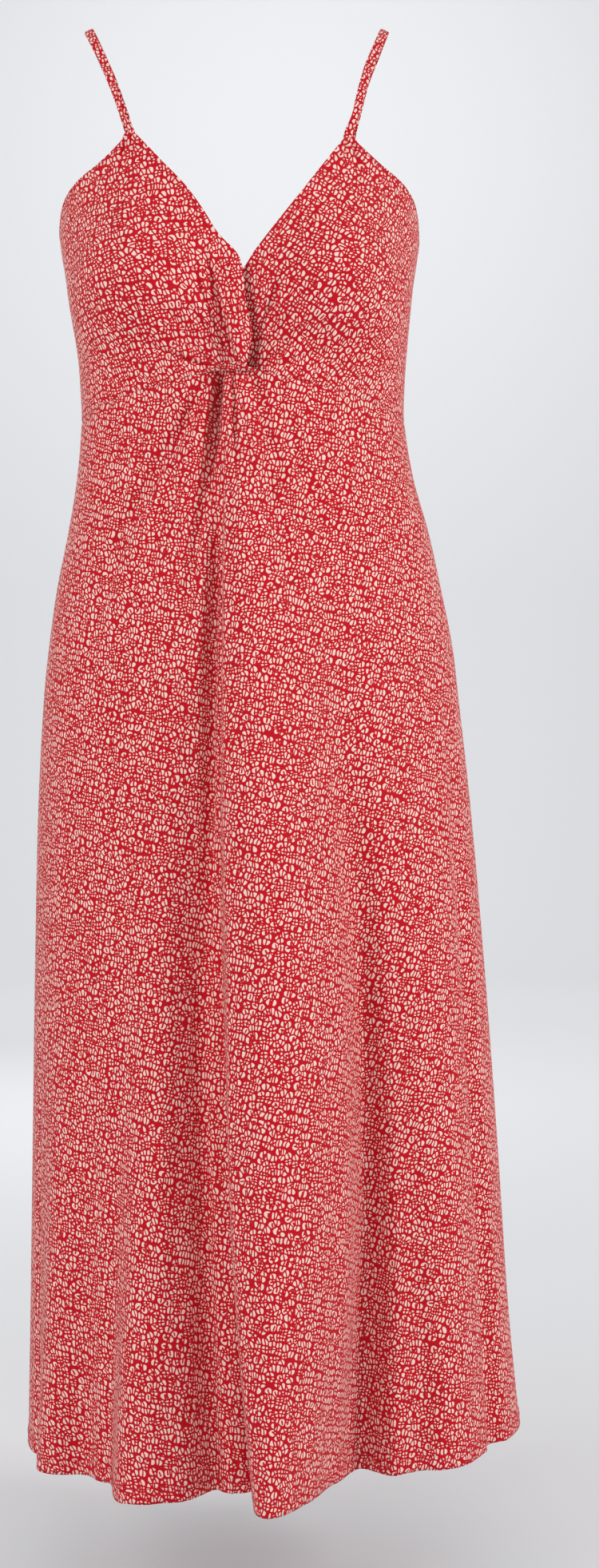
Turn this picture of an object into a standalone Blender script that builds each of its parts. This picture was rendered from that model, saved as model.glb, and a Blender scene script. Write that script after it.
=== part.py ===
"""A worn slip dress: V front crossed in a twist, empire seam, long A-line skirt and two narrow straps.

Metres, +Z up. The wearer looks towards -Y, so +X is the wearer's left. The origin is midway between the
places where the two straps lie on the shoulders, at the height of their undersides. Heights are given as a
drop: the distance below that origin. Places round the garment are given as a turn: 0 at centre front, a
quarter turn at the wearer's left side seam, minus a quarter turn at the right one.
"""

import math
from collections import namedtuple

import bpy
from mathutils import Vector

MM = 0.001

# ---------------------------------------------------------------- driving dimensions
WALL = 1.8 * MM  # jersey with its turned edges, measured level
SEAM_GAP = 0.3 * MM  # between two pieces that are sewn together
LAYER_GAP = 0.6 * MM  # between two pieces that lie on each other

HEM_DROP = 1263 * MM
HEM_LEAN = 7 * MM  # the hem hangs so much lower at the right side seam and higher at the left one
HEM_SIDE_RISE = 8 * MM  # and so much higher at both side seams
UNDERARM_DROP = 191 * MM
BACK_DIP = 9 * MM  # how much lower the back's top edge is at centre back
SEAM_FRONT_DROP = 322 * MM  # empire seam, at the twist
SEAM_SIDE_DROP = 352 * MM  # and at the side seams and across the back
SEAM_ROUNDING = 0.12  # of the shallow V that the seam makes under the bust

BUST_DROP = 236 * MM
BUST_X = 88 * MM
BUST_LIFT = 31 * MM
BUST_SPREAD = Vector((47, 60)) * MM  # across and up-down
BUST_FADE = 60 * MM  # over this height above the empire seam

STRAP_WIDTH = 8.5 * MM
STRAP_THICKNESS = 2.2 * MM
STRAP_TUCK = 9 * MM  # how far a strap's end runs down inside the bodice

TWIST_WIDTH = 42 * MM
TWIST_HEIGHT = 9 * MM
TWIST_X = -1 * MM
TWIST_EDGE = 1.2 * MM  # thickness where it runs out
TWIST_BULGE = 2.8 * MM
TWIST_REACH_TURN = 0.022  # how near the cloth must be for the twist to lie on it
TWIST_REACH_DROP = 2 * MM

CLOTH_RED = (0.53, 0.022, 0.033, 1.0)
CLOTH_ROUGHNESS = 0.8

# Plain garment, without folds: half widths to the wearer's right and left of centre front, depths in front of
# and behind the side seams, and how full the corners between them are.
Section = namedtuple("Section", "drop right left front back corner")
SECTIONS = [
    Section(*(v * MM for v in row[:5]), row[5])
    for row in (
        # drop right  left front  back corner
        (90, 150, 151, 96, 74, 0.05),
        (120, 155, 156, 106, 84, 0.05),
        (150, 159, 160, 112, 90, 0.05),
        (190, 160, 162, 114, 92, 0.05),
        (235, 152, 156, 118, 92, 0.05),
        (290, 144, 151, 116, 88, 0.05),
        (322, 142, 149, 113, 85, 0.05),
        (350, 141, 149, 111, 84, 0.05),
        (400, 145, 157, 110, 86, 0.045),
        (450, 153, 171, 113, 96, 0.04),
        (500, 163, 182, 118, 108, 0.035),
        (550, 170, 192, 124, 120, 0.03),
        (600, 175, 198, 130, 129, 0.025),
        (700, 180, 209, 138, 139, 0.02),
        (850, 183, 222, 143, 149, 0.015),
        (1000, 185, 233, 146, 157, 0.01),
        (1150, 187, 243, 147, 165, 0.0),
        (1270, 189, 255, 147, 172, 0.0),
    )
]

# The skirt's main pleat hangs from the twist and laps over the panel to its right. Each row gives, at one
# drop, where across the front its edge, its crest and its foot are, and how far its edge and crest stand out.
Pleat = namedtuple("Pleat", "drop edge crest foot edge_lift crest_lift")
PLEAT = [
    Pleat(*(v * MM for v in row))
    for row in (
        # drop edge crest foot edge_lift crest_lift
        (322, -5, 8, 30, 1, 3),
        (400, -10, 12, 60, 5, 9),
        (554, -11, 25, 95, 10, 19),
        (720, -10, 37, 103, 17, 33),
        (851, -7, 43, 110, 23, 43),
        (1000, -3, 43, 114, 30, 53),
        (1121, 4, 41, 110, 38, 61),
        (1199, 11, 38, 98, 45, 67),
        (1262, 17, 35, 87, 47, 71),
    )
]
PLEAT_ROLL = 2.5 * MM  # how tightly the cloth rolls over the pleat's edge
PLEAT_LEAN = 0.1  # how far the pleat leans over the panel beside it, for each unit that it stands out

# Softer folds. Each runs from a start drop to an end drop, through three places across the garment and three
# lifts (below 0 is a hollow), and reaches so far to either side of its line.
Fold = namedtuple("Fold", "name start end x0 x1 x2 lift0 lift1 lift2 reach_right reach_left")


def folds(*rows):
    return [Fold(row[0], *(v * MM for v in row[1:])) for row in rows]


SKIRT_FOLDS = folds(
    # name start end x0 x1 x2 lift0 lift1 lift2 reach_right reach_left
    ("under pleat edge", 330, 1300, -9, -12, 16, -3, -6, -3, 17, 4),
    ("deep crease", 318, 560, -12, -29, -48, -9, -7, 0, 9, 9),
    ("ridge by deep crease", 340, 600, -8, -19, -36, 2, 4, 0, 8, 8),
    ("long slanting crease", 330, 540, -22, -86, -134, -2, -5, 0, 12, 11),
    ("ridge over it", 334, 560, -18, -70, -120, 1, 3, 0, 12, 13),
    ("short left crease", 345, 500, -40, -54, -72, -1, -4, 0, 10, 10),
    ("thin centre crease", 350, 530, -3, -1, 2, 0, -3, 0, 7, 7),
    ("right crease", 326, 540, 17, 33, 56, -4, -6, 0, 10, 10),
    ("outer right crease", 335, 470, 34, 55, 76, -2, -3, 0, 10, 11),
    ("left panel crest", 700, 1300, -62, -70, -76, 0, 15, 47, 33, 170),
    ("valley by the pleat", 560, 1300, -30, -24, -12, 0, -15, -24, 36, 16),
    ("left front corner", 900, 1300, -150, -153, -156, 0, 7, 18, 30, 30),
    ("right valley", 560, 1300, 90, 114, 109, 0, -16, -25, 26, 28),
    ("right crest", 620, 1300, 155, 176, 186, 0, 8, 13, 44, 42),
    ("right side groove", 600, 1300, 184, 207, 229, -1, -6, -9, 15, 16),
)
BACK_FOLDS = folds(
    ("back right corner", 560, 1300, -132, -150, -164, 0, 16, 40, 60, 48),
    ("back right valley", 620, 1300, -86, -98, -104, 0, -7, -14, 30, 30),
    ("back centre right", 520, 1300, -34, -42, -50, 0, 12, 28, 42, 40),
    ("back centre valley", 600, 1300, 8, 6, 4, 0, -6, -12, 28, 28),
    ("back centre left", 540, 1300, 44, 54, 62, 0, 14, 31, 40, 44),
    ("back left valley", 640, 1300, 100, 118, 130, 0, -6, -12, 30, 30),
    ("back left corner", 580, 1300, 142, 170, 190, 0, 10, 22, 44, 50),
)
CUP_RIGHT_FOLDS = folds(
    ("edge roll", 200, 340, -8, 0, 4, 0, 5, 4, 12, 12),
    ("crease beside roll", 226, 322, -23, -15, 0, -1, -5, -4, 8, 8),
    ("low radiating crease", 262, 324, -72, -38, -8, 0, -3, -2, 10, 10),
    ("lowest radiating crease", 296, 326, -86, -46, -10, 0, -2, -2, 8, 8),
)
CUP_LEFT_FOLDS = folds(
    ("tuck under the roll", 226, 345, 4, 12, 6, -3, -7, -4, 16, 15),
    ("upper radiating crease", 262, 318, 46, 28, 13, 0, -4, -3, 8, 8),
    ("middle radiating crease", 272, 322, 78, 44, 16, 0, -3, -2, 9, 9),
    ("lowest radiating crease", 300, 328, 92, 52, 18, 0, -2, -2, 8, 8),
)

# The two edges of each front panel in the front view, from its point down: the inner one follows the neckline
# to the V and then crosses under or over the other panel to the twist, the outer one follows the armhole.
Edge = namedtuple("Edge", "drop x")
CupCut = namedtuple("CupCut", "side inner outer")


def edge(*rows):
    return [Edge(*(v * MM for v in row)) for row in rows]


CUP_RIGHT = CupCut(
    side=-1,
    inner=edge(
        (115, -87), (145, -61), (166, -42), (187, -27), (208, -14), (229, 4), (264, 9), (292, 14), (322, 9)
    ),
    outer=edge((115, -96), (122, -99), (139, -118), (151, -140), (164, -154), (191, -161)),
)
CUP_LEFT = CupCut(
    side=1,
    inner=edge((119, 93.5), (166, 59.5), (208, 28), (230, 12), (245, 3), (292, 4), (322, 0)),
    outer=edge((119, 102.5), (123, 105), (139, 125), (151, 146), (164, 158), (191, 162)),
)
CROSSING_WIDTH = 18 * MM  # over which the left panel runs in behind the right one
CROSSING_SETBACK = 3 * MM

# The route of the strap's middle, from the point of the front panel over the shoulder to the back's top edge.
Rest = namedtuple("Rest", "x y drop")
STRAP_RIGHT = [
    Rest(*(v * MM for v in row))
    for row in (
        # x y drop
        (-98, -82, 98),
        (-105, -73, 76),
        (-114, -57, 49),
        (-126, -35, 20),
        (-133, -18, 4),
        (-134, -4, -1.2),
        (-131, 12, 2.5),
        (-126, 30, 11),
        (-118, 49, 27),
        (-109, 63, 51),
        (-102, 74, 74),
        (-96, 81, 100),
    )
]
STRAP_LEFT = [
    Rest(*(v * MM for v in row))
    for row in (
        # x y drop
        (103, -82, 98),
        (108, -73, 76),
        (115, -57, 49),
        (125, -35, 20),
        (130, -18, 4),
        (131, -4, -1.2),
        (128, 12, 2.5),
        (123, 30, 11),
        (115, 49, 27),
        (108, 63, 51),
        (102, 74, 74),
        (97, 81, 100),
    )
]
STRAP_BACK_X = 89 * MM
SHOULDER_FLATNESS = 1.1  # how level the strap lies across the shoulder

# How finely each piece is divided.
SKIRT_FRONT_ROWS = 24
SKIRT_FRONT_COLUMNS = (22, 26)  # right of the pleat's edge and left of it
SKIRT_BACK_ROWS = 16
SKIRT_BACK_COLUMNS = 34
EDGE_GRADING = 1.2  # columns lie closer together at the crossing and at the pleat's edge
CUP_ROWS = 17
CUP_COLUMNS = 18
BACK_ROWS = 7
BACK_COLUMNS = 22
STRAP_STEPS = 30
MITRE_LIMIT = 0.5  # keeps the wall's inner corners from running far out
TWIST_STEPS = (20, 6)


# ---------------------------------------------------------------- curves through the tables
def smooth_step(t):
    t = min(max(t, 0.0), 1.0)
    return t * t * (3 - 2 * t)


def through(stations, at):
    """A smooth curve through stations, pairs of a place and its value, read at one place."""
    places = [place for place, _ in stations]
    values = [value for _, value in stations]
    last = len(stations) - 1
    at = min(max(at, places[0]), places[last])
    k = max(i for i in range(last) if places[i] <= at)
    span = places[k + 1] - places[k]
    rise = (values[k + 1] - values[k]) / span

    def slope(i):
        if i in (0, last):
            return rise
        return (values[i + 1] - values[i - 1]) / (places[i + 1] - places[i - 1])

    t = (at - places[k]) / span
    hermite = (2 * t**3 - 3 * t**2 + 1, t**3 - 2 * t**2 + t, 3 * t**2 - 2 * t**3, t**3 - t**2)
    held = (values[k], span * slope(k), values[k + 1], span * slope(k + 1))
    return sum(weight * value for weight, value in zip(hermite, held))


def row_at(table, drop):
    """A table's row at any drop, each column on a smooth curve through the rows given."""
    kind = type(table[0])
    columns = [[(row.drop, row[i]) for row in table] for i in range(1, len(kind._fields))]
    return kind(drop, *(through(column, drop) for column in columns))


def seam_drop(turn):
    """How far down the empire seam is here: a shallow V with a rounded middle, level across the back."""
    if abs(turn) > math.pi / 2:
        return SEAM_SIDE_DROP

    def fall(across):
        return math.hypot(across, SEAM_ROUNDING) - SEAM_ROUNDING

    return SEAM_FRONT_DROP + (SEAM_SIDE_DROP - SEAM_FRONT_DROP) * fall(math.sin(turn)) / fall(1)


# ---------------------------------------------------------------- the garment's surface
def plain_place(turn, drop):
    """The plain garment's point in plan."""
    section = row_at(SECTIONS, drop)
    across, ahead = math.sin(turn), math.cos(turn)
    width = section.left if across > 0 else section.right
    depth = section.front if ahead > 0 else section.back
    fuller = 1 + section.corner * math.sin(2 * turn) ** 2
    return Vector((width * across * fuller, -depth * ahead * fuller))


def turn_at(x, drop, behind=False):
    """The turn at which the plain garment is x across, in front or behind."""
    section = row_at(SECTIONS, drop)
    width = section.left if x > 0 else section.right
    turn = 0.0
    for _ in range(4):
        share = x / (width * (1 + section.corner * math.sin(2 * turn) ** 2))
        turn = math.asin(min(max(share, -1.0), 1.0))
    return (math.pi - turn) % (2 * math.pi) if behind else turn


def plain_frame(turn, drop):
    """The plain garment's point, outward direction and pace along it for each radian, in plan."""
    small = 0.002
    along = plain_place(turn + small, drop) - plain_place(turn - small, drop)
    pace = along.length / (2 * small)
    along.normalize()
    return plain_place(turn, drop), Vector((along.y, -along.x)), along, pace


def bust_lift(turn, x, drop):
    """How far the bust lifts the front, fading to nothing at the seams."""
    away = ((abs(x) - BUST_X) / BUST_SPREAD.x) ** 2 + ((drop - BUST_DROP) / BUST_SPREAD.y) ** 2
    fade = smooth_step(2 * math.cos(turn)) * smooth_step((seam_drop(turn) - drop) / BUST_FADE)
    return BUST_LIFT * math.exp(-away) * fade


def fold_lift(fold, turn, drop, pace, behind):
    """How far one fold lifts the cloth here."""
    if not fold.start < drop < fold.end:
        return 0.0
    middle = (fold.start + fold.end) / 2
    x = through([(fold.start, fold.x0), (middle, fold.x1), (fold.end, fold.x2)], drop)
    lift = through([(fold.start, fold.lift0), (middle, fold.lift1), (fold.end, fold.lift2)], drop)
    away = (turn - turn_at(x, drop, behind)) * pace
    reach = fold.reach_left if (away > 0) != behind else fold.reach_right
    share = abs(away) / reach
    return lift * math.cos(math.pi / 2 * share) ** 1.6 if share < 1 else 0.0


def pleat_lift(turn, drop, pace):
    """How far the main pleat lifts the cloth here."""
    pleat = row_at(PLEAT, drop)
    away = (turn - turn_at(pleat.edge, drop)) * pace
    crest, foot = pleat.crest - pleat.edge, pleat.foot - pleat.edge
    if not 0 < away < foot:
        return 0.0
    if away < crest:
        lift = pleat.edge_lift + (pleat.crest_lift - pleat.edge_lift) * math.sin(math.pi / 2 * away / crest)
    else:
        lift = pleat.crest_lift * math.cos(math.pi / 2 * (away - crest) / (foot - crest)) ** 1.6
    return lift * (1 - math.exp(-away / PLEAT_ROLL))


def skirt_point(turn, drop):
    place, outward, along, pace = plain_frame(turn, drop)
    behind = abs(turn) > math.pi / 2
    lift = sum(fold_lift(f, turn, drop, pace, behind) for f in (BACK_FOLDS if behind else SKIRT_FOLDS))
    pleat = 0.0 if behind else pleat_lift(turn, drop, pace)
    place = place + outward * (lift + pleat) - along * (pleat * PLEAT_LEAN)
    return Vector((place.x, place.y, -drop))


def bodice_point(turn, drop, fold_rows=()):
    place, outward, _, pace = plain_frame(turn, drop)
    behind = abs(turn) > math.pi / 2
    lift = 0.0 if behind else bust_lift(turn, place.x, drop)
    lift += sum(fold_lift(f, turn, drop, pace, behind) for f in fold_rows)
    place = place + outward * lift
    return Vector((place.x, place.y, -drop))


def cup_right_point(turn, drop):
    return bodice_point(turn, drop, CUP_RIGHT_FOLDS)


def cup_left_point(turn, drop):
    """The left panel, which runs in behind the right one where they cross."""
    point = bodice_point(turn, drop, CUP_LEFT_FOLDS)
    past = point.x - through(CUP_RIGHT.inner, drop)
    set_back = CROSSING_SETBACK * (1 - smooth_step(past / CROSSING_WIDTH))
    return point + Vector((0, set_back, 0))


def level_outward(surface, turn, drop):
    """The level direction that points out of the cloth."""
    small = 0.002
    along = surface(turn + small, drop) - surface(turn - small, drop)
    return Vector((along.y, -along.x, 0)).normalized()


# ---------------------------------------------------------------- making solids
def cloth_material(name):
    material = bpy.data.materials.new(name)
    material.use_nodes = True
    shader = material.node_tree.nodes["Principled BSDF"]
    shader.inputs["Base Color"].default_value = CLOTH_RED
    shader.inputs["Roughness"].default_value = CLOTH_ROUGHNESS
    shader.inputs["Metallic"].default_value = 0.0
    return material


def add_object(name, points, faces):
    mesh = bpy.data.meshes.new(name)
    mesh.from_pydata(points, [], faces)
    mesh.materials.append(cloth_material(name))
    mesh.shade_smooth()
    mesh.set_sharp_from_angle(angle=math.radians(50))
    made = bpy.data.objects.new(name, mesh)
    bpy.context.scene.collection.objects.link(made)
    return made


def wall_between(name, outer, inner):
    """A closed wall from two grids of points, rows from the top down and columns from right to left."""
    rows, columns = len(outer), len(outer[0])
    points = [p for grid in (outer, inner) for row in grid for p in row]

    def at(side, row, column):
        return (side * rows + row) * columns + column

    faces = []
    for r in range(rows - 1):
        for c in range(columns - 1):
            faces.append((at(0, r, c), at(0, r + 1, c), at(0, r + 1, c + 1)))
            faces.append((at(0, r, c), at(0, r + 1, c + 1), at(0, r, c + 1)))
            faces.append((at(1, r, c), at(1, r + 1, c + 1), at(1, r + 1, c)))
            faces.append((at(1, r, c), at(1, r, c + 1), at(1, r + 1, c + 1)))
    for r in range(rows - 1):
        last = columns - 1
        faces.append((at(0, r, 0), at(1, r, 0), at(1, r + 1, 0), at(0, r + 1, 0)))
        faces.append((at(0, r, last), at(0, r + 1, last), at(1, r + 1, last), at(1, r, last)))
    for c in range(columns - 1):
        last = rows - 1
        faces.append((at(0, 0, c), at(0, 0, c + 1), at(1, 0, c + 1), at(1, 0, c)))
        faces.append((at(0, last, c), at(1, last, c), at(1, last, c + 1), at(0, last, c + 1)))
    return add_object(name, points, faces)


def inner_row(row):
    """The points a wall's thickness behind a level row of points, mitred where the row bends."""
    normals = [Vector((b.y - a.y, a.x - b.x, 0)).normalized() for a, b in zip(row, row[1:])]
    pairs = zip([normals[0]] + normals, normals + [normals[-1]])
    return [point - WALL * (n + m) / max(1 + n.dot(m), MITRE_LIMIT) for point, (n, m) in zip(row, pairs)]


def cloth_panel(name, surface, places):
    """A panel of cloth: its outside lies on a surface at a grid of (turn, drop) places."""
    outer = [[surface(turn, drop) for turn, drop in row] for row in places]
    return wall_between(name, outer, [inner_row(row) for row in outer])


# ---------------------------------------------------------------- bodice
def cup_edges(cup, v):
    """The turns of a cup's inner and outer edges, a share v of the way from its point to the empire seam."""
    top = cup.inner[0].drop
    inner_drop = top + v * (SEAM_FRONT_DROP - top)
    outer_drop = top + v * (SEAM_SIDE_DROP - top)
    side = math.pi / 2 - SEAM_GAP / 2 / row_at(SECTIONS, outer_drop).front
    outer = cup.side * side
    if outer_drop < UNDERARM_DROP:
        outer = cup.side * min(side, abs(turn_at(through(cup.outer, outer_drop), outer_drop)))
    return turn_at(through(cup.inner, inner_drop), inner_drop), outer


def cup_places(cup):
    """The grid of a cup's places, rows from its point down to the empire seam."""
    top = cup.inner[0].drop
    foot_inner, foot_outer = cup_edges(cup, 1)
    places = []
    for r in range(CUP_ROWS + 1):
        v = r / CUP_ROWS
        inner, outer = cup_edges(cup, v)
        row = []
        for c in range(CUP_COLUMNS + 1):
            u = (c / CUP_COLUMNS) ** EDGE_GRADING
            foot = seam_drop(foot_inner + (foot_outer - foot_inner) * u) - SEAM_GAP
            row.append((inner + (outer - inner) * u, top + v * (foot - top)))
        places.append(row if cup.side > 0 else row[::-1])
    return places


def back_top_drop(turn):
    """How far down the back's top edge is."""
    return UNDERARM_DROP + BACK_DIP * math.cos(turn) ** 2


def make_bodice():
    cloth_panel("cup_right", cup_right_point, cup_places(CUP_RIGHT))
    cloth_panel("cup_left", cup_left_point, cup_places(CUP_LEFT))
    side = math.pi / 2 + SEAM_GAP / 2 / row_at(SECTIONS, UNDERARM_DROP).front
    places = []
    for r in range(BACK_ROWS + 1):
        row = []
        for c in range(BACK_COLUMNS + 1):
            turn = side + (2 * math.pi - 2 * side) * c / BACK_COLUMNS
            top = back_top_drop(turn)
            row.append((turn, top + (SEAM_SIDE_DROP - SEAM_GAP - top) * r / BACK_ROWS))
        places.append(row)
    cloth_panel("bodice_back", bodice_point, places)


# ---------------------------------------------------------------- skirt
def hem_drop(turn):
    return HEM_DROP - HEM_LEAN * math.sin(turn) - HEM_SIDE_RISE * math.sin(turn) ** 4


def make_skirt():
    right_columns, left_columns = SKIRT_FRONT_COLUMNS
    steps = [-((1 - c / right_columns) ** EDGE_GRADING) for c in range(right_columns)]
    steps += [(c / left_columns) ** EDGE_GRADING for c in range(left_columns + 1)]
    places = []
    for r in range(SKIRT_FRONT_ROWS + 1):
        v = (r / SKIRT_FRONT_ROWS) ** 1.3
        middle_drop = SEAM_FRONT_DROP * (1 - v) + HEM_DROP * v
        edge = turn_at(row_at(PLEAT, middle_drop).edge, middle_drop)
        side = math.pi / 2 - SEAM_GAP / 2 / row_at(SECTIONS, middle_drop).front
        row = []
        for step in steps:
            turn = edge + step * (side - edge if step > 0 else side + edge)
            row.append((turn, seam_drop(turn) * (1 - v) + hem_drop(turn) * v))
        places.append(row)
    cloth_panel("skirt_front", skirt_point, places)

    places = []
    for r in range(SKIRT_BACK_ROWS + 1):
        v = r / SKIRT_BACK_ROWS
        middle_drop = SEAM_SIDE_DROP * (1 - v) + HEM_DROP * v
        side = math.pi / 2 + SEAM_GAP / 2 / row_at(SECTIONS, middle_drop).front
        row = []
        for c in range(SKIRT_BACK_COLUMNS + 1):
            turn = side + (2 * math.pi - 2 * side) * c / SKIRT_BACK_COLUMNS
            row.append((turn, SEAM_SIDE_DROP * (1 - v) + hem_drop(turn) * v))
        places.append(row)
    cloth_panel("skirt_back", skirt_point, places)


# ---------------------------------------------------------------- twist
def bed_under_twist(turn, drop):
    """The place in front of all the cloth near here, which the twist lies against."""
    cloth = (cup_right_point, cup_left_point, skirt_point)
    turns = [turn + TWIST_REACH_TURN * i for i in (-1, -0.5, 0, 0.5, 1)]
    nearby = [(near, drop + TWIST_REACH_DROP * j) for near in turns for j in (-1, 0, 1)]
    place = plain_place(turn, drop)
    return Vector((place.x, min(surface(*at).y for surface in cloth for at in nearby) - LAYER_GAP, -drop))


def make_twist():
    """The wrap where the panels cross: a band lying over the seam, its two strands twisted together."""
    across, up = TWIST_STEPS
    outer, inner = [], []
    for r in range(up + 1):
        outer_row, inner_row = [], []
        for c in range(across + 1):
            s, t = 2 * c / across - 1, 2 * r / up - 1
            drop = SEAM_FRONT_DROP + TWIST_HEIGHT / 2 * (1 - 0.62 * abs(s) ** 1.5) * t
            bed = bed_under_twist(turn_at(TWIST_X + TWIST_WIDTH / 2 * s, drop), drop)
            strand = 1 + 0.25 * math.cos(2 * math.pi * (0.9 * s + 0.45 * t))
            bulge = TWIST_BULGE * (1 - s * s) ** 0.5 * (1 - 0.8 * t * t) * strand
            inner_row.append(bed)
            outer_row.append(bed - Vector((0, TWIST_EDGE + bulge, 0)))
        outer.append(outer_row)
        inner.append(inner_row)
    wall_between("twist", outer, inner)


# ---------------------------------------------------------------- straps
def tucked_places(surface, turn, edge_drop):
    """Two places for a strap's middle inside the cloth: just above a free edge, and at the strap's end."""
    inward = WALL + 2 * SEAM_GAP + STRAP_THICKNESS * 0.6
    drops = (edge_drop - STRAP_TUCK / 3, edge_drop + STRAP_TUCK)
    return [surface(turn, drop) - inward * level_outward(surface, turn, drop) for drop in drops]


def strap_route(cup, rests):
    """Points along a strap's middle, from inside the front panel's point to inside the back's top edge."""
    surface = cup_left_point if cup.side > 0 else cup_right_point
    point_drop = cup.inner[0].drop
    point_turn = turn_at((cup.inner[0].x + cup.outer[0].x) / 2, point_drop)
    above_front, front_end = tucked_places(surface, point_turn, point_drop)
    back_turn = turn_at(cup.side * STRAP_BACK_X, UNDERARM_DROP, behind=True)
    above_back, back_end = tucked_places(bodice_point, back_turn, back_top_drop(back_turn))
    knots = [front_end, above_front] + [Vector((rest.x, rest.y, -rest.drop)) for rest in rests]
    knots += [above_back, back_end]
    reach = [0.0]
    for before, after in zip(knots, knots[1:]):
        reach.append(reach[-1] + (after - before).length)
    lines = [[(d, knot[axis]) for d, knot in zip(reach, knots)] for axis in range(3)]
    return [
        Vector([through(line, reach[-1] * step / STRAP_STEPS) for line in lines])
        for step in range(STRAP_STEPS + 1)
    ]


def make_strap(name, cup, rests):
    """A flat tube of cloth swept along its route, lying flat on the shoulder."""
    route = strap_route(cup, rests)
    chest = row_at(SECTIONS, UNDERARM_DROP)
    half_width, half_thickness = STRAP_WIDTH / 2, STRAP_THICKNESS / 2
    outline = [(1, 0), (0.75, 1), (0, 1.15), (-0.75, 1), (-1, 0), (-0.75, -1), (0, -1.15), (0.75, -1)]
    points = []
    for i, middle in enumerate(route):
        before, after = route[max(i - 1, 0)], route[min(i + 1, len(route) - 1)]
        ahead = (after - before).normalized()
        up = Vector((middle.x / chest.left**2, middle.y / chest.back**2, SHOULDER_FLATNESS / chest.back))
        up = (up - ahead * up.dot(ahead)).normalized()
        side = up.cross(ahead)
        points += [middle + side * (half_width * a) + up * (half_thickness * b) for a, b in outline]
    sides = len(outline)
    faces = [
        (i * sides + k, i * sides + (k + 1) % sides, (i + 1) * sides + (k + 1) % sides, (i + 1) * sides + k)
        for i in range(len(route) - 1)
        for k in range(sides)
    ]
    faces.append(tuple(range(sides))[::-1])
    faces.append(tuple(range(len(points) - sides, len(points))))
    add_object(name, points, faces)


# ---------------------------------------------------------------- the dress
def main():
    for old in list(bpy.data.objects):
        bpy.data.objects.remove(old)
    make_bodice()
    make_skirt()
    make_twist()
    make_strap("strap_right", CUP_RIGHT, STRAP_RIGHT)
    make_strap("strap_left", CUP_LEFT, STRAP_LEFT)


main()
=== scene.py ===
"""A worn slip dress in printed jersey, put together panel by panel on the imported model.

Sizes are in millimetres until a mesh is made, and those of lamps and the room are in metres. A drop is the
distance below the place where the straps lie on the shoulders. A turn is the way round the dress, in radians:
0 at centre front, a quarter turn at the wearer's left side seam and minus a quarter turn at the right one.
The wearer looks towards -Y, and +X is the wearer's left.
"""

import math
from collections import namedtuple
from functools import partial

import bpy
import numpy as np
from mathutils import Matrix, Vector


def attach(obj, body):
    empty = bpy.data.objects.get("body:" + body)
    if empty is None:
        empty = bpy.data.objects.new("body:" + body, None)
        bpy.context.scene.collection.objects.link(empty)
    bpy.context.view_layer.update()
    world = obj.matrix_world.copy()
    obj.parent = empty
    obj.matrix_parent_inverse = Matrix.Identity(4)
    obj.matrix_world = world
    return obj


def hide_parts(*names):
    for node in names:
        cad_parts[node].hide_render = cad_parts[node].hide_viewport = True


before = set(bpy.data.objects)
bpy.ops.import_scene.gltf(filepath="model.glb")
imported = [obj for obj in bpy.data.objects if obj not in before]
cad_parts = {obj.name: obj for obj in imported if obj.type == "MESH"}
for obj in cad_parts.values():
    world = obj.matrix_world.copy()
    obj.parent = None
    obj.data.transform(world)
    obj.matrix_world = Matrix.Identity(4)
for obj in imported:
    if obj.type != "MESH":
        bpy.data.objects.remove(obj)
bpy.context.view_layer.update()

# -------------------------------- front skirt panel
# One long flared panel of printed jersey, cut wider than the seam it joins. The spare width is pleated into
# the twist under the bust and hangs from there as one deep lapped pleat with softer folds on both sides. Its
# hem is turned up and coverstitched.

MM = 0.001
QUARTER = math.pi / 2
NUDGE = 0.002  # radians: the step over which a direction is measured


def table(kind, *rows):
    """A list of named rows."""
    return [kind(*row) for row in rows]


Section = namedtuple("Section", "drop right left front back corner")
FORM = table(
    Section,
    (90, 150, 151, 96, 74, 0.05),
    (120, 155, 156, 106, 84, 0.05),
    (150, 159, 160, 112, 90, 0.05),
    (190, 160, 162, 114, 92, 0.05),
    (235, 152, 156, 118, 92, 0.05),
    (290, 144, 151, 116, 88, 0.05),
    (322, 142, 149, 113, 85, 0.05),
    (350, 141, 149, 111, 84, 0.05),
    (400, 145, 157, 110, 86, 0.045),
    (450, 153, 171, 113, 96, 0.04),
    (500, 163, 182, 118, 108, 0.035),
    (550, 170, 192, 124, 120, 0.03),
    (600, 175, 198, 130, 129, 0.025),
    (700, 180, 209, 138, 139, 0.02),
    (850, 183, 222, 143, 149, 0.015),
    (1000, 185, 233, 146, 157, 0.01),
    (1150, 187, 243, 147, 165, 0.0),
    (1270, 189, 255, 147, 172, 0.0),
)
SEAM_FRONT_DROP, SEAM_SIDE_DROP, SEAM_ROUNDING = 322, 352, 0.12
HEM_DROP, HEM_LEAN, HEM_SIDE_RISE = 1263, 7, 8

Pleat = namedtuple("Pleat", "drop edge crest foot edge_lift crest_lift")
PLEAT = table(
    Pleat,
    (322, -5, 8, 30, 1, 3),
    (400, -10, 12, 60, 5, 9),
    (554, -11, 25, 95, 10, 19),
    (720, -10, 37, 103, 17, 33),
    (851, -7, 43, 110, 23, 43),
    (1000, -3, 43, 114, 30, 53),
    (1121, 4, 41, 110, 38, 61),
    (1199, 11, 38, 98, 45, 67),
    (1262, 17, 35, 87, 47, 71),
)
PLEAT_ROLL, PLEAT_LEAN = 2.2, 0.13  # the radius of its edge, and how far it leans over for its lift

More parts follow.
